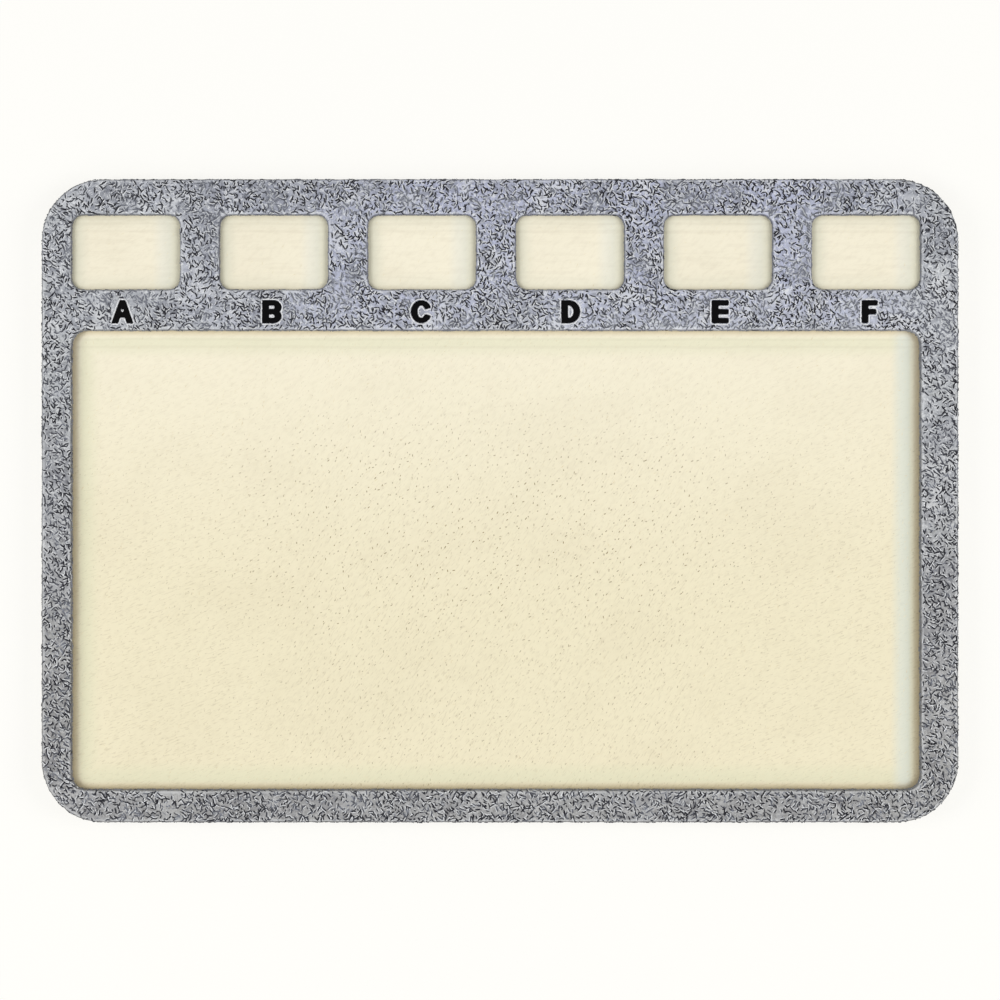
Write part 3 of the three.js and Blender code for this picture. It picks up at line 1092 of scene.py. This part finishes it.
class BEADMAT_OT_letters(bpy.types.Operator):
    """Build the pressed index letters with rounded corners"""

    bl_idname = "beadmat.letters"
    bl_label = "Letters"

    def execute(self, context):
        settings = context.scene.bead_mat
        letters = settings.letters
        finish = letter_finish("black_film", letters)
        halo = []
        for node, (_, high) in zip(LETTERS, letter_boxes):
            bm = copied_solid(node)
            bmesh.ops.dissolve_limit(bm, angle_limit=math.radians(2), verts=bm.verts, edges=bm.edges)
            upright = [e for e in bm.edges if abs(e.verts[0].co.z - e.verts[1].co.z) > 0.1 * MM]
            corners = [e for e in upright if e.calc_face_angle(0) > math.radians(30)]
            bevel(bm, corners, letters.corner, segments=3)
            halo += self.halo(bm, letters.halo)
            upper = [e for e in bm.edges if all(v.co.z > high.z - WELD for v in e.verts)]
            bevel(bm, upper, letters.rim, segments=2)
            piece = add_piece(node + "_film", bm, finish, "black_film", node)
            piece.data.shade_flat()
        pale = fibre_finish("outline_wool", letters.edging, settings.felt.pale)
        add_strands("letter_outline_wool", halo, letters.halo, pale)
        return {"FINISHED"}

    def halo(self, bm, width):
        """Short paths along the foot of a letter that draw a pale outline round it."""
        rng = random.Random(41)
        bm.normal_update()
        paths = []
        for side in (f for f in bm.faces if abs(f.normal.z) < 0.1):
            foot = min(side.edges, key=lambda e: e.verts[0].co.z + e.verts[1].co.z)
            raised = side.normal * 0.65 * width + Vector((0, 0, 0.25 * width))
            start, end = (v.co + raised for v in foot.verts)
            steps = max(1, round((end - start).length / (0.7 * MM)))
            for step in range(steps):
                spots = [start.lerp(end, (step + share) / steps) for share in (-0.1, 0.5, 1.1)]
                paths.append([spot + side.normal * rng.gauss(0, 0.1 * width) for spot in spots])
        return paths


def bevel(bm, edges, width, segments):
    """Rounds edges off to a width."""
    kind = {"offset_type": "OFFSET", "affect": "EDGES", "profile": 0.5, "material": -1}
    bmesh.ops.bevel(bm, geom=edges, offset=width, segments=segments, clamp_overlap=True, **kind)


class BEADMAT_OT_glue_films(bpy.types.Operator):
    """Finish the two adhesive films between the layers"""

    bl_idname = "beadmat.glue_films"
    bl_label = "Glue Films"

    def execute(self, context):
        finish = glue_finish("glue_film")
        for node in GLUE_FILMS:
            frame["nodes"][node].material_slots[0].material = finish
        return {"FINISHED"}


class BEADMAT_OT_stage(bpy.types.Operator):
    """Set the floor, the light and the camera"""

    bl_idname = "beadmat.stage"
    bl_label = "Stage"

    def execute(self, context):
        stage = context.scene.bead_mat.stage
        context.scene.view_settings.view_transform = "Standard"
        bm = bmesh.new()
        bmesh.ops.create_grid(bm, x_segments=1, y_segments=1, size=FLOOR_REACH)
        bmesh.ops.translate(bm, verts=bm.verts, vec=(0, 0, -FLOOR_DROP))
        floor = linked("floor", mesh_of("floor", bm))
        floor.data.materials.append(floor_finish("pale_floor", stage.floor))
        self.light(context, stage)
        self.camera(context, stage)
        return {"FINISHED"}

    def light(self, context, stage):
        """Even light from all around and three soft boxes, before a backdrop of the floor's tone."""
        world = bpy.data.worlds.new("studio")
        world.use_nodes = True
        context.scene.world = world
        studio = Nodes(world.node_tree)
        around = studio.tree.nodes["Background"]
        around.inputs["Color"].default_value = (1, 1, 1, 1)
        around.inputs["Strength"].default_value = stage.ambient
        backdrop = studio.node("ShaderNodeBackground", inputs={"Color": stage.floor})
        studio.end("World Output", studio.seen(), Wire(studio, around.outputs[0]), backdrop)
        self.soft_box("left_soft_box", bearing=180, height=35, share=stage.side)
        self.soft_box("right_soft_box", bearing=0, height=35, share=stage.side)
        self.soft_box("front_soft_box", bearing=270, height=45, share=stage.front)

    def soft_box(self, name, bearing, height, share):
        """A square lamp that lights a level surface at the mat's middle by a share of full light."""
        turn = math.radians(bearing)
        rise = math.radians(height)
        lamp = bpy.data.lights.new(name, "AREA")
        lamp.shape = "SQUARE"
        lamp.size = LAMP_SIZE
        lamp.energy = share * math.pi**2 * LAMP_DISTANCE**2 / math.sin(rise)
        holder = linked(name, lamp)
        level = LAMP_DISTANCE * math.cos(rise)
        up = LAMP_DISTANCE * math.sin(rise)
        holder.location = (level * math.cos(turn), level * math.sin(turn), up)
        holder.rotation_euler = (-holder.location).to_track_quat("-Z", "Y").to_euler()

    def camera(self, context, stage):
        """A camera that looks straight down and shows the mat at its share of the picture's width."""
        data = bpy.data.cameras.new("camera")
        data.lens = stage.lens
        view_width = (felt_high.x - felt_low.x) / stage.mat_share
        distance = view_width * data.lens / data.sensor_width
        holder = linked("camera", data)
        holder.location = (0, stage.rise, felt_high.z + distance)
        context.scene.camera = holder


class BEADMAT_PT_panel(bpy.types.Panel):
    """The bead mat's pieces and settings"""

    bl_idname = "BEADMAT_PT_panel"
    bl_label = "Bead Mat"
    bl_space_type = "VIEW_3D"
    bl_region_type = "UI"
    bl_category = "Bead Mat"

    def draw(self, context):
        settings = context.scene.bead_mat
        for group, *operators in PANEL_ROWS:
            box = self.layout.box()
            values = getattr(settings, group)
            for name in values.bl_rna.properties.keys():
                if name not in {"rna_type", "name"}:
                    box.prop(values, name)
            for operator in operators:
                box.operator(operator)


PANEL_ROWS = (
    ("felt", "beadmat.felt_frame", "beadmat.base_felt"),
    ("fibres", "beadmat.felt_fibres"),
    ("pad", "beadmat.bead_pad", "beadmat.pad_tufts", "beadmat.glue_films"),
    ("letters", "beadmat.letters"),
    ("stage", "beadmat.stage"),
)

CLASSES = (
    FeltSettings,
    FibreSettings,
    PadSettings,
    LetterSettings,
    StageSettings,
    BeadMatSettings,
    BEADMAT_OT_felt_frame,
    BEADMAT_OT_base_felt,
    BEADMAT_OT_felt_fibres,
    BEADMAT_OT_bead_pad,
    BEADMAT_OT_pad_tufts,
    BEADMAT_OT_letters,
    BEADMAT_OT_glue_films,
    BEADMAT_OT_stage,
    BEADMAT_PT_panel,
)


def register():
    for cls in CLASSES:
        bpy.utils.register_class(cls)
    bpy.types.Scene.bead_mat = PointerProperty(type=BeadMatSettings)


def unregister():
    del bpy.types.Scene.bead_mat
    for cls in reversed(CLASSES):
        bpy.utils.unregister_class(cls)


def main():
    register()
    bpy.ops.beadmat.stage()
    bpy.ops.beadmat.felt_frame()
    bpy.ops.beadmat.base_felt()
    bpy.ops.beadmat.felt_fibres()
    bpy.ops.beadmat.bead_pad()
    bpy.ops.beadmat.pad_tufts()
    bpy.ops.beadmat.letters()
    bpy.ops.beadmat.glue_films()


if __name__ == "__main__":
    main()
